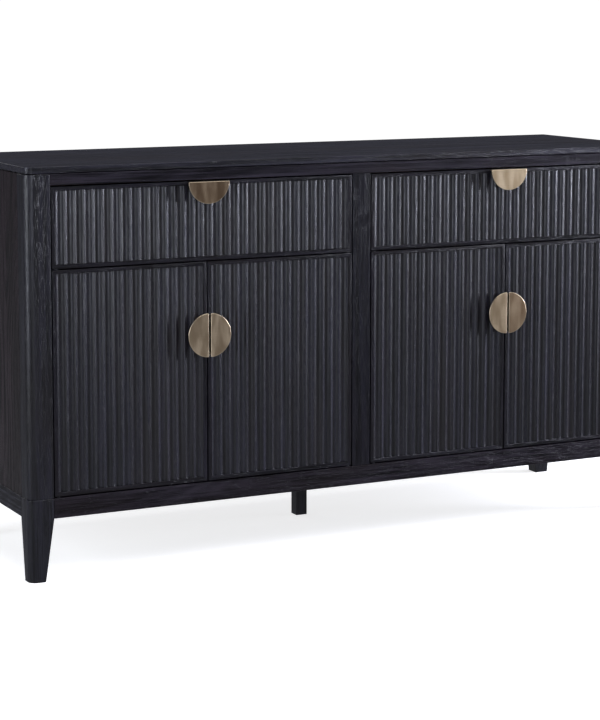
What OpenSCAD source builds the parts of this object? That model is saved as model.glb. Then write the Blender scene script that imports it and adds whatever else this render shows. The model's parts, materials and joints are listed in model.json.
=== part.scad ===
// Sideboard buffet: two wide drawers over two pairs of doors, on a legged base.
// Millimetres. +Z is up, the fronts face -Y, and the floor is at Z = 0.
// X = 0 is the middle of the width. Y = 0 is the middle of the full depth, handles included.

/* [Overall] */
// Width over the base legs
width = 1524; // [1380:1:1700]
// Depth of the carcass, from the front of the posts to the back
depth = 455.5; // [425:0.5:520]
// Height from the floor to the top surface
height = 848; // [800:1:950]

/* [Top] */
// Thickness of the top slab at its edge
slab_t = 13.5; // [12:0.5:20]
// Height of the shadow line under the slab
reveal = 1.5; // [1:0.5:4]
// How far the slab sits inside the faces of the posts
slab_inset = 1.5; // [1:0.5:4]
// Height of the rail over the drawers
top_rail_h = 23; // [20:1:40]

/* [Base] */
// Height of the leg below the base rails
leg_h = 130; // [100:1:180]
// Height of the base rails
base_rail_h = 41.5; // [36:0.5:60]
// How far the base stands out past the posts
base_proud = 1.5; // [0.5:0.5:4]
// Width of a foot along X
foot_w = 34; // [24:1:46]
// Depth of a foot along Y
foot_d = 33; // [24:1:46]
// Side of the square centre leg
centre_leg_w = 27; // [20:1:40]
// Distance from the front of the posts to the centre leg
centre_leg_y = 286; // [150:1:320]

/* [Carcass] */
// Width of a corner post along X
post_w = 52; // [44:1:60]
// Depth of a corner post along Y
post_d = 50; // [46:1:60]
// Radius of the rounded front corner
corner_r = 18; // [8:1:24]
// Width of the centre stile
stile_w = 43; // [40:1:60]
// Thickness of the side panels
side_t = 18; // [15:1:22]
// Thickness of the centre partition
partition_t = 19; // [16:1:24]

/* [Fronts] */
// Height of a drawer front
drawer_h = 165.5; // [140:0.5:180]
// Thickness of the drawer fronts and doors
front_t = 20; // [18:0.5:24]
// Gap between a front and the carcass beside it
side_gap = 2.5; // [2.5:0.1:3.5]
// Gap above and below a front, and between two doors
gap = 3; // [3:0.1:4]
// Width of the flat border round a front
border_w = 8.5; // [8.5:0.5:14]
// Number of flutes across a drawer front
drawer_flutes = 33; // [25:1:41]
// Number of flutes across a door
door_flutes = 16; // [12:1:20]
// Depth of a flute
flute_depth = 5; // [3:0.5:6]

/* [Handles] */
// Radius of a half-disc handle
handle_r = 46; // [35:1:55]
// How far a handle stands out from its front
handle_out = 14; // [12:0.5:20]
// Thickness of the handle's metal
handle_t = 3; // [2:0.5:4]
// Height of the middle of the door handles over the bottom of the doors
handle_up = 311; // [240:1:340]

/* [Hidden] */

oak = [0.09, 0.09, 0.1];
drawer_wood = [0.62, 0.5, 0.36];
brass = [0.62, 0.5, 0.33];
steel = [0.6, 0.6, 0.62];

// Planes of the carcass
y_front = -(depth - handle_out) / 2;
y_back = y_front + depth;
x_side = width / 2 - base_proud;
x_post = x_side - post_w;
x_stile = stile_w / 2;
x_panel = x_side - side_t;
x_partition = partition_t / 2;

// Heights, from the floor up
z_base = leg_h + base_rail_h;
z_slab = height - slab_t;
z_carcass = z_slab - reveal;
z_rail = z_carcass - top_rail_h;
z_drawer_top = z_rail - gap;
z_drawer = z_drawer_top - drawer_h;
z_door_top = z_drawer - gap;
z_door = z_base + gap;
z_divider_top = z_door_top + 0.7;

// Fronts
drawer_w = x_post - x_stile - 2 * side_gap;
door_w = (drawer_w - gap) / 2;
door_h = z_door_top - z_door;
bay_x = (x_post + x_stile) / 2;

// A front's panel: the lands between its flutes lie just behind the border's face
panel_set = 1;
panel_t = 11;
rebate_w = 20;
land_w = 0.8;

// Radius of the back corners of the posts and legs
back_corner_r = 2;

// Inner boards
board_t = 16;
divider_t = 12;
divider_y = y_front + front_t + 3;
back_t = 6;
back_set = 6;
y_back_panel = y_back - back_set - back_t;
stile_d = 40;
back_stile_d = 50;
y_back_stile = y_back_panel - back_stile_d;
rail_t = 22;

// Shelves and their pins
shelf_z = 400;
shelf_y = y_front + post_d + 22;
shelf_d = y_back_stile - 1.5 - shelf_y;
shelf_side_gap = 1;
pin_r = 2.5;
pin_hole_r = 2.55;
pin_in = 8;
pin_out = 8;
pin_step = 64;
pin_columns = [shelf_y + 40, shelf_y + shelf_d - 40];

// Pivot hinges: a steel pin turns in a brass bush let into the end of the hinge stile
pivot_in = 8;
pivot_back = 6;
pivot_r = 2;
bush_bore_r = 2.05;
bush_r = 3;
bush_l = 7.5;
plate_t = 1.5;
plate_r = 5;
plate_l = 38;

// Door catches, and the strikes that meet them
catch_w = 64;
catch_d = 18;
catch_h = 12;
strike_w = 26;
strike_h = 12;
strike_t = 1;
catch_y = y_front + front_t + strike_t + 0.4;

// Drawer boxes and their runners
runner_h = 45;
runner_t = 12.5;
runner_sheet = 1.5;
runner_l = 400;
slide_h = 38;
slide_set = 2.5;
box_side_t = 12;
box_end_t = 14;
box_bottom_t = 6;
box_bottom_up = 6;
box_z = z_drawer + 16;
box_h = 120;
box_l = 400;
box_gap = 0.3;
box_w = x_post - x_stile - 2 * (runner_t + box_gap);
runner_z = box_z + box_h / 2 - runner_h / 2;

// Shared shapes

// Plan of a corner block with its outer corner at the origin, rounded to radius r
module corner_plan(w, d, r) {
    union() {
        translate([r, 0]) square([w - r, d]);
        translate([0, r]) square([w, d - r]);
        translate([r, r]) circle(r, $fn = 96);
    }
}

// Draws its children at the left, or mirrored at the right
module at_side(side) {
    if (side == "left") children();
    else mirror([1, 0, 0]) children();
}

module box_between(low, high) {
    translate(low) cube(high - low);
}

// Top and carcass

module top_slab() {
    w = 2 * (x_side - slab_inset);
    d = depth - slab_inset;
    pad_inset = 6;
    color(oak) union() {
        translate([0, y_front + slab_inset, z_slab]) linear_extrude(slab_t) union() {
            translate([-w / 2, 0]) corner_plan(w / 2, d, corner_r - slab_inset);
            mirror([1, 0]) translate([-w / 2, 0]) corner_plan(w / 2, d, corner_r - slab_inset);
        }
        box_between([-w / 2 + pad_inset + corner_r, y_front + slab_inset + pad_inset, z_carcass],
                    [w / 2 - pad_inset - corner_r, y_back - pad_inset, z_slab + 1]);
        box_between([-w / 2 + pad_inset, y_front + post_d / 2, z_carcass],
                    [w / 2 - pad_inset, y_back - pad_inset, z_slab + 1]);
    }
}

module front_post(side) {
    color(oak) at_side(side)
        translate([-x_side, y_front, z_base])
            linear_extrude(z_carcass - z_base) corner_plan(post_w, post_d, corner_r);
}

module back_post(side) {
    color(oak) at_side(side)
        translate([-x_side, y_back, z_base]) mirror([0, 1, 0])
            linear_extrude(z_carcass - z_base) corner_plan(post_w, post_d, back_corner_r);
}

// Blind holes for shelf pins, three heights in each of two columns, bored towards +X from x
module pin_holes(x, deep) {
    for (column = pin_columns)
        for (step = [-1:1])
            translate([x, column, shelf_z - pin_r + step * pin_step])
                rotate([0, 90, 0]) cylinder(r = pin_hole_r, h = deep, $fn = 48);
}

module side_panel(side) {
    color(oak) at_side(side) difference() {
        box_between([-x_side, y_front + post_d, z_base], [-x_panel, y_back - post_d, z_carcass]);
        pin_holes(-x_panel - pin_in, pin_in + 1);
    }
}

module front_top_rail() {
    color(oak) box_between([-x_post, y_front, z_rail], [x_post, y_front + rail_t, z_carcass]);
}

module back_top_rail() {
    color(oak) box_between([-x_post, y_back - rail_t, z_rail], [x_post, y_back, z_carcass]);
}

module centre_stile() {
    color(oak) box_between([-x_stile, y_front, z_base], [x_stile, y_front + stile_d, z_rail]);
}

module centre_back_stile() {
    color(oak) box_between([-x_stile, y_back_stile, z_base], [x_stile, y_back_panel, z_rail]);
}

module centre_partition() {
    color(oak) difference() {
        box_between([-x_partition, y_front + stile_d, z_base],
                    [x_partition, y_back_stile, z_carcass]);
        pin_holes(-x_partition - 1, pin_in + 1);
        mirror([1, 0, 0]) pin_holes(-x_partition - 1, pin_in + 1);
    }
}

module bottom_panel() {
    color(oak) difference() {
        box_between([-x_side - base_proud + rail_t, y_front - base_proud + rail_t, z_base - board_t],
                    [x_side + base_proud - rail_t, y_back - rail_t, z_base]);
        for (side = ["left", "right"]) at_side(side) {
            box_between([-x_side - base_proud, y_front - base_proud - 1, z_base - board_t - 1],
                        [-x_post, y_front + post_d, z_base + 1]);
            box_between([-x_side - base_proud, y_back - post_d - base_proud, z_base - board_t - 1],
                        [-x_post, y_back + 1, z_base + 1]);
        }
    }
}

// Boards under the drawers, notched round the posts and stiles
module dividers() {
    color(oak) for (side = ["left", "right"]) at_side(side) union() {
        box_between([-x_post, divider_y, z_divider_top - divider_t],
                    [-x_stile, y_back_stile, z_divider_top]);
        box_between([-x_panel, y_front + post_d, z_divider_top - divider_t],
                    [-x_partition, y_back_stile - 1, z_divider_top]);
    }
}

module back_panel() {
    color(oak) box_between([-x_post, y_back_panel, z_base], [x_post, y_back_panel + back_t, z_rail]);
}

module shelves() {
    color(oak) for (side = ["left", "right"]) at_side(side)
        box_between([-x_panel + shelf_side_gap, shelf_y, shelf_z],
                    [-x_partition - shelf_side_gap, shelf_y + shelf_d, shelf_z + board_t]);
}

module shelf_pins() {
    color(steel) for (side = ["left", "right"]) at_side(side)
        for (column = pin_columns)
            for (x = [-x_panel - pin_in, -x_partition - pin_out])
                translate([x, column, shelf_z - pin_r])
                    rotate([0, 90, 0]) cylinder(r = pin_r, h = pin_in + pin_out, $fn = 48);
}

// Base

// A leg with its outer corner at the origin. Only the two inner faces taper.
module leg_blank(r) {
    w = post_w + base_proud;
    d = post_d + base_proud;
    intersection() {
        linear_extrude(z_base) corner_plan(w, d, r);
        translate([0, d + 1, 0]) rotate([90, 0, 0]) linear_extrude(d + 2)
            polygon([[0, 0], [foot_w, 0], [w, leg_h], [w, z_base], [0, z_base]]);
        rotate([90, 0, 90]) linear_extrude(w)
            polygon([[0, 0], [foot_d, 0], [d, leg_h], [d, z_base], [0, z_base]]);
    }
}

module front_leg(side) {
    color(oak) at_side(side)
        translate([-width / 2, y_front - base_proud, 0]) leg_blank(corner_r);
}

module back_leg(side) {
    color(oak) at_side(side)
        translate([-width / 2, y_back, 0]) mirror([0, 1, 0]) leg_blank(back_corner_r);
}

module front_base_rail() {
    color(oak) box_between([-x_post, y_front - base_proud, leg_h],
                           [x_post, y_front - base_proud + rail_t, z_base]);
}

module back_base_rail() {
    color(oak) box_between([-x_post, y_back - rail_t, leg_h], [x_post, y_back, z_base]);
}

module side_base_rail(side) {
    color(oak) at_side(side)
        box_between([-width / 2, y_front + post_d, leg_h],
                    [-width / 2 + rail_t, y_back - post_d - base_proud, z_base]);
}

module centre_base_rail() {
    color(oak) box_between([-centre_leg_w / 2, y_front - base_proud + rail_t, leg_h],
                           [centre_leg_w / 2, y_back - rail_t, z_base - board_t]);
}

module centre_leg() {
    color(oak) box_between([-centre_leg_w / 2, y_front + centre_leg_y, 0],
                           [centre_leg_w / 2, y_front + centre_leg_y + centre_leg_w, leg_h]);
}

// Fixed hardware

// A pivot plate with its pin, lying on z = 0, with the pin pointing up
module pivot_plate() {
    union() {
        cylinder(r = plate_r, h = plate_t, $fn = 48);
        translate([-plate_r, 0, 0]) cube([2 * plate_r, plate_l, plate_t]);
        cylinder(r = pivot_r, h = plate_t + bush_l - 1, $fn = 48);
    }
}

// X of the hinge pins, left to right
function hinge_x(outer) = outer ? x_post - side_gap - pivot_in : x_stile + side_gap + pivot_in;

module pivot_plates() {
    color(steel) for (side = ["left", "right"]) at_side(side) for (outer = [true, false])
        translate([-hinge_x(outer), y_front + pivot_back, 0]) {
            translate([0, 0, z_base]) pivot_plate();
            translate([0, 0, z_divider_top + plate_t]) mirror([0, 0, 1]) pivot_plate();
        }
}

module door_catches() {
    color(steel) for (side = ["left", "right"]) at_side(side)
        box_between([-bay_x - catch_w / 2, catch_y, z_divider_top - divider_t - catch_h],
                    [-bay_x + catch_w / 2, catch_y + catch_d, z_divider_top - divider_t]);
}

// A C-shaped runner, its web on x = 0 and its mouth towards +X
module runner() {
    difference() {
        cube([runner_t, runner_l, runner_h]);
        translate([runner_sheet, -1, runner_sheet])
            cube([runner_t, runner_l + 2, runner_h - 2 * runner_sheet]);
    }
}

module drawer_runners() {
    color(steel) for (side = ["left", "right"]) at_side(side) {
        translate([-x_post, y_front + front_t + 2, runner_z]) runner();
        translate([-x_stile, y_front + front_t + 2, runner_z]) mirror([1, 0, 0]) runner();
    }
}

// Fronts, each drawn with its lower left corner at the origin and its face on y = 0

// Four rebated strips that hold a panel from the front
module border(w, h) {
    rebate = border_w + rebate_w;
    lip_y = panel_set + panel_t;
    difference() {
        cube([w, front_t, h]);
        translate([border_w, -1, border_w]) cube([w - 2 * border_w, lip_y + 1, h - 2 * border_w]);
        translate([rebate, -1, rebate]) cube([w - 2 * rebate, front_t + 2, h - 2 * rebate]);
    }
}

// A panel of scooped flutes that fills the border
module fluted_panel(w, h, count) {
    inner_w = w - 2 * border_w;
    pitch = inner_w / count;
    half_flute = (pitch - land_w) / 2;
    flute_r = (half_flute * half_flute + flute_depth * flute_depth) / (2 * flute_depth);
    translate([border_w, panel_set, border_w]) linear_extrude(h - 2 * border_w)
        difference() {
            square([inner_w, panel_t]);
            for (i = [0:count - 1])
                translate([(i + 0.5) * pitch, flute_depth - flute_r]) circle(flute_r, $fn = 96);
        }
}

// A half-disc plate held off the front by a flange along its straight edge.
// The straight edge lies on x = 0, the disc's middle is at z = 0 and the plate is towards +X.
module half_disc_handle() {
    flange_l = 2 * handle_r - 8;
    union() {
        translate([0, -handle_out + handle_t, 0]) rotate([90, 0, 0])
            linear_extrude(handle_t) intersection() {
                circle(handle_r, $fn = 128);
                translate([0, -handle_r]) square([handle_r, 2 * handle_r]);
            }
        translate([0, -handle_out, -flange_l / 2]) cube([handle_t, handle_out, flange_l]);
    }
}

// Drawers

module drawer_at(side) {
    at_side(side) translate([-x_post + side_gap, y_front, z_drawer]) children();
}

module drawer_border(side) {
    color(oak) drawer_at(side) border(drawer_w, drawer_h);
}

module drawer_panel(side) {
    color(oak) drawer_at(side) fluted_panel(drawer_w, drawer_h, drawer_flutes);
}

module drawer_handle(side) {
    color(brass) drawer_at(side)
        translate([drawer_w / 2, 0, drawer_h - 0.5]) rotate([0, 90, 0]) half_disc_handle();
}

module drawer_sides(side) {
    color(drawer_wood) at_side(side) for (x = [-bay_x - box_w / 2, -bay_x + box_w / 2 - box_side_t])
        translate([x, y_front + front_t, box_z]) cube([box_side_t, box_l, box_h]);
}

module drawer_ends(side) {
    inner_w = box_w - 2 * box_side_t;
    back_up = box_bottom_t + box_bottom_up;
    color(drawer_wood) at_side(side) translate([-bay_x - inner_w / 2, y_front + front_t, box_z]) {
        cube([inner_w, box_end_t, box_h]);
        translate([0, box_l - box_end_t, back_up]) cube([inner_w, box_end_t, box_h - back_up]);
    }
}

module drawer_bottom(side) {
    inner_w = box_w - 2 * box_side_t;
    color(drawer_wood) at_side(side)
        translate([-bay_x - inner_w / 2, y_front + front_t + box_end_t, box_z + box_bottom_up])
            cube([inner_w, box_l - box_end_t, box_bottom_t]);
}

module drawer_slides(side) {
    slide_t = runner_t + box_gap - slide_set;
    slide_z = runner_z + (runner_h - slide_h) / 2;
    color(steel) at_side(side) for (x = [-x_post + slide_set, -x_stile - slide_set - slide_t])
        translate([x, y_front + front_t + 2, slide_z]) cube([slide_t, runner_l - 4, slide_h]);
}

// Doors. The outer doors hinge on the corner posts and the inner doors on the centre stile.

// Draws its children in a door's own frame: hinge edge on x = 0, meeting edge towards +X
module door_at(side, outer) {
    at_side(side)
        if (outer) translate([-x_post + side_gap, y_front, z_door]) children();
        else translate([-x_stile - side_gap, y_front, z_door]) mirror([1, 0, 0]) children();
}

module door_border(side, outer) {
    color(oak) door_at(side, outer) difference() {
        border(door_w, door_h);
        for (z = [-1, door_h - bush_l])
            translate([pivot_in, pivot_back, z]) cylinder(r = bush_r, h = bush_l + 1, $fn = 48);
    }
}

module door_panel(side, outer) {
    color(oak) door_at(side, outer) fluted_panel(door_w, door_h, door_flutes);
}

module door_handle(side, outer) {
    edge_set = 1;
    color(brass) door_at(side, outer)
        translate([door_w - edge_set, 0, handle_up]) mirror([1, 0, 0]) half_disc_handle();
}

module door_fittings(side, outer) {
    strike_z = z_divider_top - divider_t - catch_h - z_door;
    color(steel) door_at(side, outer) {
        for (z = [0, door_h - bush_l])
            translate([pivot_in, pivot_back, z]) difference() {
                cylinder(r = bush_r, h = bush_l, $fn = 48);
                translate([0, 0, -1]) cylinder(r = bush_bore_r, h = bush_l + 2, $fn = 48);
            }
        translate([door_w - strike_w - 2, front_t, strike_z])
            cube([strike_w, strike_t, strike_h]);
    }
}

top_slab();
front_post("left");  // front_left_post
front_post("right");  // front_right_post
back_post("left");  // back_left_post
back_post("right");  // back_right_post
side_panel("left");  // left_side_panel
side_panel("right");  // right_side_panel
front_top_rail();
back_top_rail();
centre_stile();
centre_back_stile();
centre_partition();
bottom_panel();
dividers();
back_panel();
shelves();
shelf_pins();
front_leg("left");  // front_left_leg
front_leg("right");  // front_right_leg
back_leg("left");  // back_left_leg
back_leg("right");  // back_right_leg
front_base_rail();
back_base_rail();
side_base_rail("left");  // left_base_rail
side_base_rail("right");  // right_base_rail
centre_base_rail();
centre_leg();
pivot_plates();
door_catches();
drawer_runners();
drawer_border("left");  // left_drawer_border
drawer_panel("left");  // left_drawer_flutes
drawer_handle("left");  // left_drawer_handle
drawer_sides("left");  // left_drawer_sides
drawer_ends("left");  // left_drawer_ends
drawer_bottom("left");  // left_drawer_bottom
drawer_slides("left");  // left_drawer_slides
drawer_border("right");  // right_drawer_border
drawer_panel("right");  // right_drawer_flutes
drawer_handle("right");  // right_drawer_handle
drawer_sides("right");  // right_drawer_sides
drawer_ends("right");  // right_drawer_ends
drawer_bottom("right");  // right_drawer_bottom
drawer_slides("right");  // right_drawer_slides
door_border("left", true);  // left_outer_door_border
door_panel("left", true);  // left_outer_door_flutes
door_handle("left", true);  // left_outer_door_handle
door_fittings("left", true);  // left_outer_door_fittings
door_border("left", false);  // left_inner_door_border
door_panel("left", false);  // left_inner_door_flutes
door_handle("left", false);  // left_inner_door_handle
door_fittings("left", false);  // left_inner_door_fittings
door_border("right", false);  // right_inner_door_border
door_panel("right", false);  // right_inner_door_flutes
door_handle("right", false);  // right_inner_door_handle
door_fittings("right", false);  // right_inner_door_fittings
door_border("right", true);  // right_outer_door_border
door_panel("right", true);  // right_outer_door_flutes
door_handle("right", true);  // right_outer_door_handle
door_fittings("right", true);  // right_outer_door_fittings
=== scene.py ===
import json
import math
import random

import bmesh
import bpy
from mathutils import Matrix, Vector


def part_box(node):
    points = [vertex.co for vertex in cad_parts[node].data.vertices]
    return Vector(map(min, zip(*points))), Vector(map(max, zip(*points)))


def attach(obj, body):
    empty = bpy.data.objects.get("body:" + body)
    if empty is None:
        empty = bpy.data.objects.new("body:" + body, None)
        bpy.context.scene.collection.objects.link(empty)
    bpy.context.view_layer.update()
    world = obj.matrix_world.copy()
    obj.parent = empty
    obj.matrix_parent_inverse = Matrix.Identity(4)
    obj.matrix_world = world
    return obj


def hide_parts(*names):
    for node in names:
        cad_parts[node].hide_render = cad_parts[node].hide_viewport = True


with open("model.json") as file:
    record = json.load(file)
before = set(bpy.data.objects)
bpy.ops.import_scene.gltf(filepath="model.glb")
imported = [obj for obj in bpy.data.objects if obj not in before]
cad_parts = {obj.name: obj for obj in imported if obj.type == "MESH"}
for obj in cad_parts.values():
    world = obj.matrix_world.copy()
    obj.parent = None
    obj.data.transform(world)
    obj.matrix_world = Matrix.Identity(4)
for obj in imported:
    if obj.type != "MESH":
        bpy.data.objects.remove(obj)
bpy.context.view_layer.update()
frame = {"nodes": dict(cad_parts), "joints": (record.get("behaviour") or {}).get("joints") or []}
nodes = frame["nodes"]
MM = 0.001
WHITE = (1.0, 1.0, 1.0)


# ---------------------------------------------------------------- camera
CAMERA_PLACE = (-2.2019, -4.2947, 1.1761)
CAMERA_YAW = math.radians(26.75)
CAMERA_PITCH = math.radians(6.61)
CAMERA_LENS = 108.113
CAMERA_SHIFT = -0.15


def make_camera():
    """Looks along the front from the left, a little from above, cropping the right end."""
    data = bpy.data.cameras.new("camera")
    data.lens = CAMERA_LENS
    data.sensor_width = 36.0
    data.shift_y = CAMERA_SHIFT
    data.clip_start, data.clip_end = 0.05, 200.0
    cam = bpy.data.objects.new("camera", data)
    bpy.context.scene.collection.objects.link(cam)
    cam.location = CAMERA_PLACE
    level = math.cos(CAMERA_PITCH)
    ahead = Vector((math.sin(CAMERA_YAW) * level, math.cos(CAMERA_YAW) * level, -math.sin(CAMERA_PITCH)))
    cam.rotation_mode = "QUATERNION"
    cam.rotation_quaternion = ahead.to_track_quat("-Z", "Y")
    bpy.context.scene.camera = cam


# ---------------------------------------------------------------- shader building
class Graph:
    """Builds one material's nodes, with short calls that return sockets."""

    def __init__(self, name):
        self.material = bpy.data.materials.new(name)
        self.material.use_nodes = True
        self.tree = self.material.node_tree
        self.tree.nodes.clear()
        out = self.add("ShaderNodeOutputMaterial")
        self.shader = self.add("ShaderNodeBsdfPrincipled")
        self.tree.links.new(self.shader.outputs[0], out.inputs["Surface"])

    def add(self, kind, **settings):
        """A new node with the given settings."""
        node = self.tree.nodes.new(kind)
        for key, value in settings.items():
            setattr(node, key, value)
        return node

    def plug(self, value, socket):
        """Links a socket, or sets a constant."""
        if isinstance(value, bpy.types.NodeSocket):
            self.tree.links.new(value, socket)
        else:
            socket.default_value = value

    def set(self, name, value):
        self.plug(value, self.shader.inputs[name])

    def math(self, op, a, b=0.0, clamp=False):
        node = self.add("ShaderNodeMath", operation=op, use_clamp=clamp)
        self.plug(a, node.inputs[0])
        self.plug(b, node.inputs[1])
        return node.outputs[0]

    def point(self):
        return self.add("ShaderNodeTexCoord").outputs["Object"]

    def attribute(self, name, kind="GEOMETRY"):
        return self.add("ShaderNodeAttribute", attribute_name=name, attribute_type=kind).outputs["Fac"]

    def axes(self, vector):
        node = self.add("ShaderNodeSeparateXYZ")
        self.plug(vector, node.inputs[0])
        return node.outputs

    def vector(self, x, y, z):
        node = self.add("ShaderNodeCombineXYZ")
        for value, socket in zip((x, y, z), node.inputs):
            self.plug(value, socket)
        return node.outputs[0]

    def scaled(self, vector, scale):
        node = self.add("ShaderNodeVectorMath", operation="MULTIPLY")
        self.plug(vector, node.inputs[0])
        node.inputs[1].default_value = scale
        return node.outputs[0]

    def moved(self, vector, amount, along):
        """The vector moved by an amount times a fixed direction."""
        node = self.add("ShaderNodeVectorMath", operation="MULTIPLY_ADD")
        self.plug(self.vector(amount, amount, amount), node.inputs[0])
        node.inputs[1].default_value = along
        self.plug(vector, node.inputs[2])
        return node.outputs[0]

    def noise(self, vector, scale=1.0, detail=2.0, rough=0.5, twist=0.0):
        node = self.add("ShaderNodeTexNoise")
        self.plug(vector, node.inputs["Vector"])
        node.inputs["Scale"].default_value = scale
        node.inputs["Detail"].default_value = detail
        node.inputs["Roughness"].default_value = rough
        node.inputs["Distortion"].default_value = twist
        return node.outputs["Fac"]

    def spread(self, value, low, high, to_low=0.0, to_high=1.0):
        """Maps low..high smoothly onto to_low..to_high."""
        node = self.add("ShaderNodeMapRange", clamp=True, interpolation_type="SMOOTHSTEP")
        self.plug(value, node.inputs["Value"])
        limits = {"From Min": low, "From Max": high, "To Min": to_low, "To Max": to_high}
        for name, number in limits.items():
            self.plug(number, node.inputs[name])
        return node.outputs["Result"]

    def blend(self, amount, a, b, mode="MIX"):
        node = self.add("ShaderNodeMix", data_type="RGBA", blend_type=mode)
        self.plug(amount, node.inputs[0])
        self.plug(a if isinstance(a, bpy.types.NodeSocket) else (*a, 1.0), node.inputs[6])
        self.plug(b if isinstance(b, bpy.types.NodeSocket) else (*b, 1.0), node.inputs[7])
        return node.outputs[2]

    def bump(self, height, distance, strength):
        node = self.add("ShaderNodeBump")
        node.inputs["Strength"].default_value = strength
        node.inputs["Distance"].default_value = distance
        self.plug(height, node.inputs["Height"])
        return node.outputs[0]


def wood_space(g, along):
    """The point with its last axis along the grain, moved a different way for each piece and strip."""
    x, y, z = g.axes(g.point())
    turned = {"x": (y, z, x), "y": (z, x, y), "z": (x, y, z)}[along]
    seed = g.math("ADD", g.attribute("seed"), g.attribute("seed", "OBJECT"))
    return g.moved(g.vector(*turned), seed, (3.7, 5.3, 9.1))


def black_oak(name, along, warmth=0.0, stain_and_painted_light=1.0, rings=1.0, gloss=0.22, fine=1.0, satin=0.35, relief=0.55):
    """Near-black wire-brushed oak: arching rings, fine fibres, open pores and a satin lacquer.

    warmth browns it, the lightness factor lightens or darkens it (partly the stain's own darkness, partly
    painted light and shade set for each piece), rings strengthens the arches, gloss is the shine of the
    lacquer, fine scales the streaks' frequency, satin is the middle roughness and relief the depth of the
    grain.
    """
    g = Graph(name)
    p = wood_space(g, along)
    # Each noise's scale is in cycles per metre: across the grain twice, then along it
    field = g.noise(g.scaled(p, (6.0, 6.0, 1.0)), 1.0, 1.5, 0.45, 0.15)
    ring = g.math("SINE", g.math("MULTIPLY", field, 150.0))
    ring = g.math("MULTIPLY_ADD", ring, 0.5)
    ring.node.inputs[2].default_value = 0.5
    streaks = 170.0 * fine
    streak = g.noise(g.scaled(p, (streaks, streaks, 3.4)), 1.0, 2.0, 0.55)
    fibre = g.noise(g.scaled(p, (620.0, 620.0, 11.0)), 1.0, 2.0, 0.6)
    pore = g.noise(g.scaled(p, (1300.0, 1300.0, 46.0)), 1.0, 1.0, 0.5)
    pore = g.spread(pore, 0.56, 0.70)
    cloud = g.noise(g.scaled(p, (9.0, 9.0, 2.2)), 1.0, 2.0, 0.5)

    grain = g.math("ADD", g.math("MULTIPLY", streak, 0.62), g.math("MULTIPLY", fibre, 0.38))
    grain = g.spread(grain, 0.40, 0.60)
    arches = g.math("MULTIPLY", ring, 0.28 * rings)
    grain = g.math("ADD", g.math("MULTIPLY", grain, 0.72), arches, clamp=True)
    # The lightness factor scales both grain colours: partly the stain's own darkness, partly painted light
    # and shade set for each piece.
    dark = (0.0035 * stain_and_painted_light * (1 + warmth), 0.0033 * stain_and_painted_light, 0.0052 * stain_and_painted_light * (1 - 0.5 * warmth))
    pale = (0.038 * stain_and_painted_light * (1 + warmth), 0.0365 * stain_and_painted_light, 0.053 * stain_and_painted_light * (1 - 0.5 * warmth))
    colour = g.blend(grain, dark, pale)
    brown = g.math("MULTIPLY", g.spread(cloud, 0.42, 0.66), 0.35 + warmth)
    colour = g.blend(brown, colour, (0.022 * stain_and_painted_light, 0.0165 * stain_and_painted_light, 0.0165 * stain_and_painted_light))
    colour = g.blend(g.math("MULTIPLY", pore, 0.75), colour, (0.004, 0.004, 0.005))
    tone = g.math("ADD", g.math("MULTIPLY", g.attribute("tone"), 0.22), 1.0)
    colour = g.blend(1.0, colour, g.vector(tone, tone, tone), "MULTIPLY")
    g.set("Base Color", colour)
    rough = g.math("ADD", g.math("MULTIPLY", grain, -0.10), g.math("MULTIPLY", pore, 0.22))
    g.set("Roughness", g.math("ADD", rough, satin))
    g.set("Specular IOR Level", gloss)
    height = g.math("ADD", g.math("MULTIPLY", grain, 0.6), g.math("MULTIPLY", pore, -0.8))
    height = g.math("ADD", height, g.math("MULTIPLY", fibre, 0.4))
    g.set("Normal", g.bump(height, 0.4 * MM, relief))
    return g.material


def drawer_wood(name, along):
    """Clear-lacquered poplar for the drawer boxes."""
    g = Graph(name)
    p = wood_space(g, along)
    field = g.noise(g.scaled(p, (9.0, 9.0, 1.2)), 1.0, 2.0, 0.5, 0.2)
    ring = g.spread(g.math("SINE", g.math("MULTIPLY", field, 90.0)), -1.0, 1.0)
    fibre = g.noise(g.scaled(p, (500.0, 500.0, 9.0)), 1.0, 2.0, 0.6)
    colour = g.blend(ring, (0.36, 0.235, 0.13), (0.47, 0.33, 0.2))
    colour = g.blend(g.spread(fibre, 0.4, 0.68, 0.0, 0.5), colour, (0.27, 0.165, 0.085))
    g.set("Base Color", colour)
    g.set("Roughness", g.spread(fibre, 0.2, 0.8, 0.42, 0.56))
    g.set("Normal", g.bump(fibre, 0.2 * MM, 0.4))
    return g.material


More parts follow.
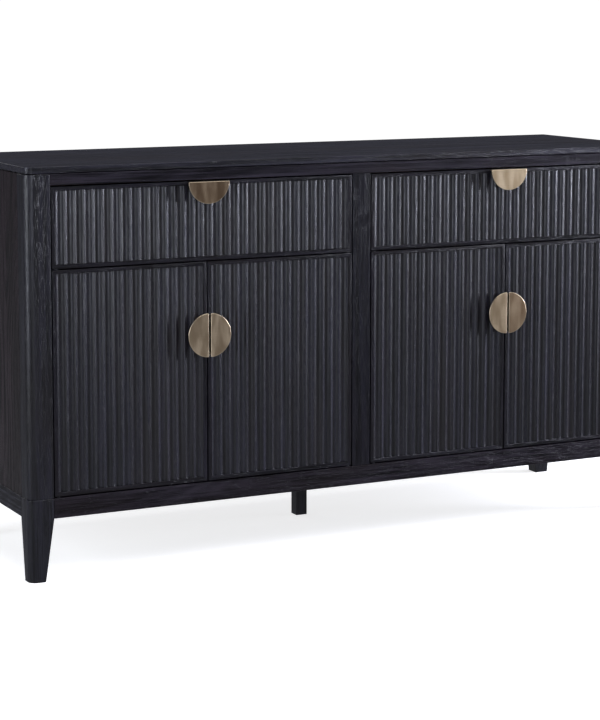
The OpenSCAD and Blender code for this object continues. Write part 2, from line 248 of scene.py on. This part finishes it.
def antique_brass(name, wear_and_sheen=0.0):
    """Brushed brass, browned handle by handle partly by patina and mostly by painted shade for the dark
    surroundings each handle reflects. The optional last argument makes the metal paler towards bright
    brass: partly rubbed-back wear, partly a painted highlight on the rim.
    """
    g = Graph(name)
    p = g.point()
    brush = g.noise(g.scaled(p, (30.0, 400.0, 2600.0)), 1.0, 3.0, 0.6)
    cloud = g.noise(g.scaled(p, (60.0, 34.0, 15.0)), 1.0, 3.0, 0.5, 0.2)
    spot = g.spread(g.noise(p, 260.0, 3.0, 0.6), 0.62, 0.74)
    colour = g.blend(g.spread(cloud, 0.32, 0.68), (0.56, 0.425, 0.275), (0.72, 0.58, 0.40))
    colour = g.blend(g.math("MULTIPLY", spot, 0.35), colour, (0.25, 0.17, 0.10))
    colour = g.blend(g.spread(brush, 0.35, 0.65, 0.0, 0.16), colour, (0.30, 0.21, 0.13))
    # Painted shade: the handle's darkening towards brown is some patina, but mostly stands in for the dark
    # surroundings its brass reflects.
    patina_and_shade = g.math("MULTIPLY", g.attribute("patina_and_shade", "OBJECT"), g.spread(cloud, 0.2, 0.8, 1.0, 0.7))
    colour = g.blend(patina_and_shade, colour, (0.19, 0.11, 0.06))
    # Paler metal, used on the rims: partly rubbed-back wear, partly a painted highlight.
    if wear_and_sheen:
        colour = g.blend(g.spread(cloud, 0.25, 0.55, wear_and_sheen, 0.7 * wear_and_sheen), colour, (0.95, 0.83, 0.62))
    g.set("Base Color", colour)
    g.set("Metallic", 1.0)
    rough = g.spread(cloud, 0.3, 0.7, 0.27, 0.37)
    g.set("Roughness", g.math("ADD", rough, g.math("MULTIPLY", brush, 0.06)))
    g.set("Normal", g.bump(brush, 0.05 * MM, 0.35))
    return g.material


def steel(name, colour, roughness):
    """Plated pressed steel with a fine mottle."""
    g = Graph(name)
    p = g.point()
    cloud = g.noise(p, 60.0, 3.0, 0.6)
    fine = g.noise(g.scaled(p, (900.0, 60.0, 900.0)), 1.0, 2.0, 0.6)
    darker = tuple(c * 0.72 for c in colour)
    g.set("Base Color", g.blend(g.spread(cloud, 0.35, 0.65), darker, colour))
    g.set("Metallic", 1.0)
    g.set("Roughness", g.spread(fine, 0.3, 0.7, roughness - 0.06, roughness + 0.08))
    g.set("Normal", g.bump(fine, 0.04 * MM, 0.3))
    return g.material


# ---------------------------------------------------------------- mesh building
def link(name, bm, materials, body):
    """Makes an object of a bmesh and lets it ride on a body."""
    bmesh.ops.recalc_face_normals(bm, faces=bm.faces)
    mesh = bpy.data.meshes.new(name)
    bm.to_mesh(mesh)
    bm.free()
    obj = bpy.data.objects.new(name, mesh)
    bpy.context.scene.collection.objects.link(obj)
    for material in materials:
        mesh.materials.append(material)
    mesh.polygons.foreach_set("use_smooth", [True] * len(mesh.polygons))
    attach(obj, body)
    return obj


def soften(obj, width, segments=3, angle=30.0, weld=False):
    """Rounds the sharp edges, as a modifier."""
    if weld:
        obj.modifiers.new("weld", "WELD").merge_threshold = 0.00001
        flat = obj.modifiers.new("flat", "DECIMATE")
        flat.decimate_type, flat.angle_limit = "DISSOLVE", math.radians(0.2)
    bevel = obj.modifiers.new("soften", "BEVEL")
    bevel.width, bevel.segments = width, segments
    bevel.limit_method, bevel.angle_limit = "ANGLE", math.radians(angle)
    bevel.harden_normals = False
    bevel.use_clamp_overlap = True
    shade = obj.modifiers.new("shade", "WEIGHTED_NORMAL")
    shade.keep_sharp = False
    shade.weight = 80


def corner_outline(w, d, r):
    """Plan of a block with its outer corner at the origin, rounded there to radius r, anticlockwise."""
    points = [(w, 0.0), (w, d), (0.0, d)]
    for i in range(CORNER_STEPS + 1):
        a = math.pi + i * math.pi / 2 / CORNER_STEPS
        points.append((r + r * math.cos(a), r + r * math.sin(a)))
    return points


def skin(bm, rings):
    """A closed body through rings of the same number of points."""
    loops = [[bm.verts.new(p) for p in ring] for ring in rings]
    count = len(loops[0])
    for low, high in zip(loops, loops[1:]):
        for i in range(count):
            j = (i + 1) % count
            bm.faces.new((low[i], low[j], high[j], high[i]))
    bm.faces.new(loops[0][::-1])
    bm.faces.new(loops[-1])


def block(bm, low, high):
    """A box between two corners."""
    (x0, y0, z0), (x1, y1, z1) = low, high
    plan = ((x0, y0), (x1, y0), (x1, y1), (x0, y1))
    skin(bm, [[(x, y, z) for x, y in plan] for z in (z0, z1)])


def joined(obj, cutters, operation):
    """Applies a boolean with each cutter and removes the cutters."""
    for cutter in cutters:
        tool = obj.modifiers.new("tool", "BOOLEAN")
        tool.operation, tool.solver, tool.object = operation, "EXACT", cutter
    bpy.context.view_layer.update()
    made = bpy.data.meshes.new_from_object(obj.evaluated_get(bpy.context.evaluated_depsgraph_get()))
    obj.modifiers.clear()
    obj.data = made
    for cutter in cutters:
        bpy.data.objects.remove(cutter)


def loose(name, bm):
    """A plain object for a boolean, removed once it is used."""
    bmesh.ops.recalc_face_normals(bm, faces=bm.faces)
    mesh = bpy.data.meshes.new(name)
    bm.to_mesh(mesh)
    bm.free()
    obj = bpy.data.objects.new(name, mesh)
    bpy.context.scene.collection.objects.link(obj)
    return obj


# ---------------------------------------------------------------- the pieces
SEEDS = random.Random(41)
LEG_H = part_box("front_base_rail")[0].z
FOOT_W, FOOT_D = 34 * MM, 33 * MM
CORNER_R = 18 * MM
BACK_CORNER_R = 2 * MM
SLAB_INSET = 1.5 * MM
SLAB_REVEAL = 1.5 * MM
PAD_INSET = 6 * MM
PAD_SUNK = 1 * MM
BORDER_W = 8.5 * MM
PANEL_LIP = 12 * MM
REBATE_W = 20 * MM
DRAWER_FLUTES, DOOR_FLUTES = 33, 16
FLUTE_DEPTH = 5 * MM
FLUTE_WANDER = 0.1 * MM
FLUTE_SHALLOWER = 0.07
LAND_W = 0.8 * MM
PLATE_T = 3 * MM
FLANGE_SHORT = 4 * MM
FLANGE_SUNK = 1 * MM
BUSH_R, BUSH_L = 3 * MM, 7.5 * MM
BORE_PAST = 1 * MM

# Rounding of the edges, and the steps in curves
POST_ARRIS = 1.0 * MM
SLAB_ARRIS = 1.6 * MM
LEG_ARRIS = 1.2 * MM
LAND_ARRIS = 0.3 * MM
BORDER_ARRIS = 0.9 * MM
RIM_ARRIS = 1.0 * MM
BOARD_ARRIS = 0.9 * MM
METAL_ARRIS = 0.3 * MM
CORNER_STEPS = 14
ARRIS_STEPS = 3
FLUTE_STEPS = 12
HANDLE_STEPS = 72
BORE_SIDES = 48


def post(node, side):
    """A front corner post with its rounded outer corner."""
    lo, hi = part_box(node)
    flip = 1 if side == "left" else -1
    start = lo.x if side == "left" else hi.x
    plan = corner_outline(hi.x - lo.x, hi.y - lo.y, CORNER_R)
    bm = bmesh.new()
    skin(bm, [[(start + flip * x, lo.y + y, z) for x, y in plan] for z in (lo.z, hi.z)])
    obj = link(node + "_wood", bm, [OAK_Z], "cabinet")
    obj["seed"] = SEEDS.random()
    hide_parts(node)
    soften(obj, POST_ARRIS, 2)


def slab(node):
    """The top: a thin slab with rounded front corners, on a set-back pad that leaves the shadow line."""
    lo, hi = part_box(node)
    under = lo.z + SLAB_REVEAL
    plan = corner_outline((hi.x - lo.x) / 2, hi.y - lo.y, CORNER_R - SLAB_INSET)
    left = [(lo.x + x, lo.y + y) for x, y in plan[2:]]
    right = [(-x, y) for x, y in reversed(left)]
    bm = bmesh.new()
    skin(bm, [[(x, y, z) for x, y in left + right] for z in (under, hi.z)])
    side = PAD_INSET + CORNER_R
    pad_low = (lo.x + side, lo.y + PAD_INSET, lo.z)
    pad_high = (hi.x - side, hi.y - PAD_INSET, under + PAD_SUNK)
    block(bm, pad_low, pad_high)
    obj = link(node + "_wood", bm, [OAK_TOP], "cabinet")
    obj["seed"] = SEEDS.random()
    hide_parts(node)
    soften(obj, SLAB_ARRIS, 3)


def leg(node, side, front):
    """A corner leg whose two inner faces taper to the foot."""
    lo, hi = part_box(node)
    flip_x = 1 if side == "left" else -1
    flip_y = 1 if front else -1
    x0 = lo.x if side == "left" else hi.x
    y0 = lo.y if front else hi.y
    w, d = hi.x - lo.x, hi.y - lo.y
    radius = CORNER_R if front else BACK_CORNER_R
    rings = []
    for z, part in ((0.0, 0.0), (LEG_H, 1.0), (hi.z, 1.0)):
        plan = corner_outline(FOOT_W + (w - FOOT_W) * part, FOOT_D + (d - FOOT_D) * part, radius)
        rings.append([(x0 + flip_x * x, y0 + flip_y * y, z) for x, y in plan])
    bm = bmesh.new()
    skin(bm, rings)
    obj = link(node + "_wood", bm, [OAK_Z], "cabinet")
    obj["seed"] = SEEDS.random()
    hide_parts(node)
    soften(obj, LEG_ARRIS, 2, 25.0)


def flutes(node, count, body, material):
    """A board scooped into upright flutes, each cut slightly its own way, with narrow lands between."""
    lo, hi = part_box(node)
    pitch = (hi.x - lo.x) / count
    half = (pitch - LAND_W) / 2
    radius = (half * half + FLUTE_DEPTH * FLUTE_DEPTH) / (2 * FLUTE_DEPTH)
    bm = bmesh.new()
    seed_layer = bm.faces.layers.float.new("seed")
    tone_layer = bm.faces.layers.float.new("tone")
    columns, owners = [(lo.x, 0.0)], []
    for i in range(count):
        middle = lo.x + (i + 0.5) * pitch + SEEDS.uniform(-FLUTE_WANDER, FLUTE_WANDER)
        full = 1 - SEEDS.uniform(0.0, FLUTE_SHALLOWER)
        marks = (SEEDS.random(), SEEDS.uniform(-1.0, 1.0))
        for k in range(FLUTE_STEPS + 1):
            s = -half + 2 * half * k / FLUTE_STEPS
            sunk = max(0.0, math.sqrt(radius * radius - s * s) - radius + FLUTE_DEPTH)
            columns.append((middle + s, sunk * full))
            owners.append(marks)
    columns.append((hi.x, 0.0))
    owners.append(owners[-1])
    low, high = [[bm.verts.new((x, lo.y + sunk, z)) for x, sunk in columns] for z in (lo.z, hi.z)]
    for i, marks in enumerate(owners):
        face = bm.faces.new((low[i], low[i + 1], high[i + 1], high[i]))
        face[seed_layer], face[tone_layer] = marks
    back = [bm.verts.new((x, hi.y, z)) for z in (lo.z, hi.z) for x in (lo.x, hi.x)]
    bm.faces.new(low + [back[1], back[0]])
    bm.faces.new(high + [back[3], back[2]])
    bm.faces.new((low[0], high[0], back[2], back[0]))
    bm.faces.new((low[-1], high[-1], back[3], back[1]))
    bm.faces.new((back[0], back[1], back[3], back[2]))
    obj = link(node + "_wood", bm, [material], body)
    obj["seed"] = SEEDS.random()
    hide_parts(node)
    soften(obj, LAND_ARRIS, 2, 35.0)


def bush_cutter(x, y, z0, z1):
    """The round bore for a hinge pin's bush."""
    turns = [k * math.tau / BORE_SIDES for k in range(BORE_SIDES)]
    ring = [(x + BUSH_R * math.cos(turn), y + BUSH_R * math.sin(turn)) for turn in turns]
    bm = bmesh.new()
    skin(bm, [[(px, py, z) for px, py in ring] for z in (z0, z1)])
    return loose("bore", bm)


def border(node, body, bushes=()):
    """Four mitred strips round a front, rebated behind for its panel, each with its grain along it."""
    lo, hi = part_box(node)
    w, t, a = BORDER_W, hi.y - lo.y, BORDER_ARRIS
    turns = [i * math.pi / 2 / ARRIS_STEPS for i in range(ARRIS_STEPS + 1)]
    profile = [(0.0, t)]
    profile += [(a - a * math.cos(turn), a - a * math.sin(turn)) for turn in turns]
    profile += [(w - a + a * math.sin(turn), a - a * math.cos(turn)) for turn in turns]
    profile += [(w, PANEL_LIP), (w + REBATE_W, PANEL_LIP), (w + REBATE_W, t)]
    corners = ((lo.x, lo.z, 1, 1), (hi.x, lo.z, -1, 1), (hi.x, hi.z, -1, -1), (lo.x, hi.z, 1, -1))
    bm = bmesh.new()
    seed_layer = bm.faces.layers.float.new("seed")
    tone_layer = bm.faces.layers.float.new("tone")
    mitres = []
    for cx, cz, sx, sz in corners:
        mitres.append([bm.verts.new((cx + sx * d, lo.y + y, cz + sz * d)) for d, y in profile])
    for n in range(4):
        start, end = mitres[n], mitres[(n + 1) % 4]
        marks = (SEEDS.random(), SEEDS.uniform(-0.25, 0.1))
        for i in range(len(profile)):
            j = (i + 1) % len(profile)
            face = bm.faces.new((start[i], start[j], end[j], end[i]))
            face[seed_layer], face[tone_layer] = marks
            face.material_index = n % 2
    obj = link(node + "_wood", bm, [OAK_BORDER_X, OAK_BORDER_Z], body)
    if bushes:
        joined(obj, [bush_cutter(*bush) for bush in bushes], "DIFFERENCE")
    obj.data.set_sharp_from_angle(angle=math.radians(35))
    obj["seed"] = SEEDS.random()
    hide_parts(node)


def handle(node, body, toward, patina_and_shade):
    """A half-disc plate with a rounded rim, on a folded flange. toward is the way its curve points."""
    lo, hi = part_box(node)
    upright = toward[1] == 0
    middle = (lo + hi) / 2
    if upright:
        centre = (lo.x if toward[0] > 0 else hi.x, middle.z)
        radius, depth = (hi.z - lo.z) / 2, hi.x - lo.x
    else:
        centre = (middle.x, hi.z)
        radius, depth = (hi.x - lo.x) / 2, hi.z - lo.z
    across = (-toward[1], toward[0])

    def place(u, v, y):
        return (centre[0] + toward[0] * u + across[0] * v, y, centre[1] + toward[1] * u + across[1] * v)

    turns = [-math.pi / 2 + math.pi * i / HANDLE_STEPS for i in range(HANDLE_STEPS + 1)]
    outline = [(max(depth * math.cos(turn), 0.0), radius * math.sin(turn)) for turn in turns]
    bm = bmesh.new()
    skin(bm, [[place(u, v, y) for u, v in outline] for y in (lo.y, lo.y + PLATE_T)])
    obj = link(node + "_metal", bm, [BRASS, BRASS_RIM_WEAR_AND_SHEEN], body)
    # How brown this handle is: some patina, mostly painted shade.
    obj["patina_and_shade"] = patina_and_shade
    reach = radius - FLANGE_SHORT
    fold = ((0, -reach), (PLATE_T, -reach), (PLATE_T, reach), (0, reach))
    flange = bmesh.new()
    skin(flange, [[place(u, v, y) for u, v in fold] for y in (lo.y + FLANGE_SUNK, hi.y)])
    joined(obj, [loose("flange", flange)], "UNION")
    obj["seed"] = SEEDS.random()
    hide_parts(node)
    soften(obj, RIM_ARRIS, 3)
    # The rounded rim takes the paler rim brass, partly wear and partly a painted highlight.
    obj.modifiers["soften"].material = 1


def door(body):
    """A door's fluted panel, its border bored for the bushes, and its half-disc handle."""
    lo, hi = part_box(body + "_border")
    joint = next(j for j in frame["joints"] if j["child"] == body)
    x, y = joint["pos_m"][:2]
    foot = (x, y, lo.z - BORE_PAST, lo.z + BUSH_L)
    head = (x, y, hi.z - BUSH_L, hi.z + BORE_PAST)
    flutes(body + "_flutes", DOOR_FLUTES, body, OAK_FLUTE)
    border(body + "_border", body, (foot, head))
    toward_hinge = 1 if (lo.x + hi.x) / 2 < x else -1
    handle(body + "_handle", body, (toward_hinge, 0), PATINA_AND_SHADE[body])


# ---------------------------------------------------------------- the materials
# These copies of one oak differ in lightness as painted light and shade: each part's lightness was set to
# how bright it looks under the lamps, so the stile, side panels and door and drawer borders are painted
# darker, and the top, top rail and flutes lighter.
OAK_Z = black_oak("oak_upright", "z", stain_and_painted_light=0.62, rings=0.35, gloss=0.42, fine=0.8)
OAK_X = black_oak("oak_lengthwise", "x", warmth=0.14, stain_and_painted_light=0.72, gloss=0.1, fine=0.8)
OAK_Y = black_oak("oak_crosswise", "y", stain_and_painted_light=0.62)
OAK_TOP = black_oak("oak_top", "x", rings=0.6, gloss=0.36)
OAK_SIDE = black_oak("oak_side_panel", "z", warmth=0.42, stain_and_painted_light=0.52, rings=2.4, gloss=0.2, fine=0.4)
OAK_FLUTE = black_oak("oak_flute", "z", stain_and_painted_light=0.88, rings=0.4, gloss=0.62, satin=0.32, relief=0.28)
OAK_RAIL = black_oak("oak_top_rail", "x", warmth=0.1, stain_and_painted_light=1.1, rings=0.6, gloss=0.1, fine=0.8)
OAK_STILE = black_oak("oak_stile", "z", stain_and_painted_light=0.46, rings=0.4, gloss=0.2, fine=0.8)
OAK_BORDER_X = black_oak("oak_border_lengthwise", "x", warmth=0.05, stain_and_painted_light=0.5)
OAK_BORDER_Z = black_oak("oak_border_upright", "z", warmth=0.05, stain_and_painted_light=0.5)
BOX_X = drawer_wood("poplar_lengthwise", "x")
BOX_Y = drawer_wood("poplar_crosswise", "y")
BRASS = antique_brass("antique_brass")
# The paler rim brass: partly rubbed-back wear, partly a painted highlight.
BRASS_RIM_WEAR_AND_SHEEN = antique_brass("antique_brass_rim_wear_and_sheen", 0.55)
# How brown each handle is: some patina, but mostly painted shade, set handle by handle to how dark its
# reflections look.
PATINA_AND_SHADE = {"left_drawer": 0.76, "right_drawer": 0.0, "left_outer_door": 0.0, "left_inner_door": 0.08,
          "right_inner_door": 0.12, "right_outer_door": 0.68}
ZINC = steel("zinc_steel", (0.56, 0.57, 0.58), 0.34)
BLACK_STEEL = steel("black_steel", (0.06, 0.06, 0.065), 0.42)

make_camera()

slab("top_slab")
for side in ("left", "right"):
    post(f"front_{side}_post", side)
    leg(f"front_{side}_leg", side, True)
    leg(f"back_{side}_leg", side, False)
    flutes(f"{side}_drawer_flutes", DRAWER_FLUTES, f"{side}_drawer", OAK_FLUTE)
    border(f"{side}_drawer_border", f"{side}_drawer")
    handle(f"{side}_drawer_handle", f"{side}_drawer", (0, -1), PATINA_AND_SHADE[f"{side}_drawer"])
    door(f"{side}_outer_door")
    door(f"{side}_inner_door")

# The other pieces are the CAD's own, with their edges rounded and a material each.
LOOKS = {
    "back_left_post": OAK_Z, "back_right_post": OAK_Z, "left_side_panel": OAK_SIDE,
    "right_side_panel": OAK_SIDE, "front_top_rail": OAK_RAIL, "back_top_rail": OAK_X,
    "centre_stile": OAK_STILE, "centre_back_stile": OAK_Z, "centre_partition": OAK_Z,
    "bottom_panel": OAK_X, "dividers": OAK_X, "back_panel": OAK_X, "shelves": OAK_X,
    "front_base_rail": OAK_X, "back_base_rail": OAK_X, "left_base_rail": OAK_Y,
    "right_base_rail": OAK_Y, "centre_base_rail": OAK_Y, "centre_leg": OAK_Z, "shelf_pins": ZINC,
    "pivot_plates": BLACK_STEEL, "door_catches": ZINC, "drawer_runners": ZINC,
}
for side in ("left", "right"):
    LOOKS[f"{side}_drawer_sides"] = BOX_Y
    LOOKS[f"{side}_drawer_ends"] = BOX_X
    LOOKS[f"{side}_drawer_bottom"] = BOX_X
    LOOKS[f"{side}_drawer_slides"] = ZINC
    LOOKS[f"{side}_outer_door_fittings"] = ZINC
    LOOKS[f"{side}_inner_door_fittings"] = ZINC
for name, look in LOOKS.items():
    obj = nodes[name]
    obj.data.materials.clear()
    obj.data.materials.append(look)
    obj["seed"] = SEEDS.random()
    arris = METAL_ARRIS if look in (ZINC, BLACK_STEEL) else BOARD_ARRIS
    soften(obj, arris, 2, weld=True)


# ---------------------------------------------------------------- stage and light
# The room's glow by the height of the direction, from straight down at 0 to straight up at 1
ROOM_GLOW = (
    (0.0, (0.52, 0.52, 0.54)),
    (0.25, (0.42, 0.42, 0.44)),
    (0.38, (0.2, 0.205, 0.225)),
    (0.43, (0.15, 0.155, 0.175)),
    (0.46, (0.062, 0.064, 0.078)),
    (1.0, (0.085, 0.087, 0.105)),
)
FLOOR_REACH, FLOOR_SIDES = 7.0, 96
FLOOR_GREY, FLOOR_GLOW = 0.8, 0.74


def area(name, place, target, width, height, power, colour=WHITE):
    """A rectangular light at a place, turned to a target."""
    data = bpy.data.lights.new(name, "AREA")
    data.shape, data.size, data.size_y = "RECTANGLE", width, height
    data.energy, data.color = power, colour
    lamp = bpy.data.objects.new(name, data)
    bpy.context.scene.collection.objects.link(lamp)
    lamp.location = place
    lamp.rotation_mode = "QUATERNION"
    lamp.rotation_quaternion = (Vector(target) - Vector(place)).to_track_quat("-Z", "Y")


def make_floor():
    """A plain pale disc that takes the shadows and lights nothing itself."""
    turns = [i * math.tau / FLOOR_SIDES for i in range(FLOOR_SIDES)]
    bm = bmesh.new()
    bm.faces.new([bm.verts.new((FLOOR_REACH * math.cos(t), FLOOR_REACH * math.sin(t), 0)) for t in turns])
    mesh = bpy.data.meshes.new("floor")
    bm.to_mesh(mesh)
    bm.free()
    floor = bpy.data.objects.new("floor", mesh)
    bpy.context.scene.collection.objects.link(floor)
    g = Graph("floor")
    g.set("Base Color", (FLOOR_GREY, FLOOR_GREY, FLOOR_GREY, 1))
    g.set("Roughness", 0.9)
    g.set("Specular IOR Level", 0.1)
    g.set("Emission Color", (*WHITE, 1))
    g.set("Emission Strength", FLOOR_GLOW)
    mesh.materials.append(g.material)
    floor.visible_diffuse = floor.visible_glossy = False


def make_world():
    """White behind the object, and a dim room with a pale floor for it to reflect."""
    world = bpy.data.worlds.new("world")
    bpy.context.scene.world = world
    world.use_nodes = True
    tree = world.node_tree
    tree.nodes.clear()
    out = tree.nodes.new("ShaderNodeOutputWorld")
    seen = tree.nodes.new("ShaderNodeBackground")
    seen.inputs[0].default_value = (*WHITE, 1)
    seen.inputs[1].default_value = 1.05
    room = tree.nodes.new("ShaderNodeBackground")
    room.inputs[1].default_value = 1.0
    way = tree.nodes.new("ShaderNodeTexCoord")
    split = tree.nodes.new("ShaderNodeSeparateXYZ")
    height = tree.nodes.new("ShaderNodeMapRange")
    height.inputs["From Min"].default_value, height.inputs["From Max"].default_value = -1.0, 1.0
    tint = tree.nodes.new("ShaderNodeValToRGB")
    for spot, colour in ROOM_GLOW[2:]:
        tint.color_ramp.elements.new(spot)
    for element, (spot, colour) in zip(tint.color_ramp.elements, ROOM_GLOW):
        element.position, element.color = spot, (*colour, 1)
    tree.links.new(way.outputs["Generated"], split.inputs[0])
    tree.links.new(split.outputs[2], height.inputs["Value"])
    tree.links.new(height.outputs[0], tint.inputs[0])
    tree.links.new(tint.outputs[0], room.inputs[0])
    ray = tree.nodes.new("ShaderNodeLightPath")
    mix = tree.nodes.new("ShaderNodeMixShader")
    tree.links.new(ray.outputs["Is Camera Ray"], mix.inputs[0])
    tree.links.new(room.outputs[0], mix.inputs[1])
    tree.links.new(seen.outputs[0], mix.inputs[2])
    tree.links.new(mix.outputs[0], out.inputs[0])


def make_lights():
    """A soft overhead light, a strong key far to the right, and weaker lights round the left."""
    data = bpy.data.lights.new("overhead", "SUN")
    data.energy, data.angle = 1.5, math.radians(60)
    sun = bpy.data.objects.new("overhead", data)
    bpy.context.scene.collection.objects.link(sun)
    sun.rotation_mode = "QUATERNION"
    sun.rotation_quaternion = Vector((-0.25, 0.35, -1.0)).to_track_quat("-Z", "Y")
    area("key", (4.0, -1.15, 1.3), (0.2, -0.2, 0.6),
         1.3, 1.8, 295, (0.83, 0.86, 1))
    area("card", (2.84, -3.37, 0.8), (0.38, -0.2, 0.75),
         0.8, 1.1, 4)
    area("fill", (-1.7, -4.2, 0.95), (0.0, -0.2, 0.6),
         2.2, 1.8, 16, (0.82, 0.87, 1))
    area("near_fill", (-1.4, -3.8, 1.05), (0.0, -0.2, 0.6),
         0.7, 1.7, 14, (0.84, 0.88, 1))
    area("left_side", (-3.55, -0.5, 1.1), (-0.76, 0.1, 0.6),
         1.6, 2.1, 60, (0.86, 0.91, 1))
    area("behind", (-1.6, 4.0, 2.0), (-0.7, 0.2, 0.8),
         1.2, 0.9, 11)


make_floor()
make_world()
make_lights()
bpy.context.scene.view_settings.view_transform = "Standard"
bpy.context.scene.view_settings.look = "None"
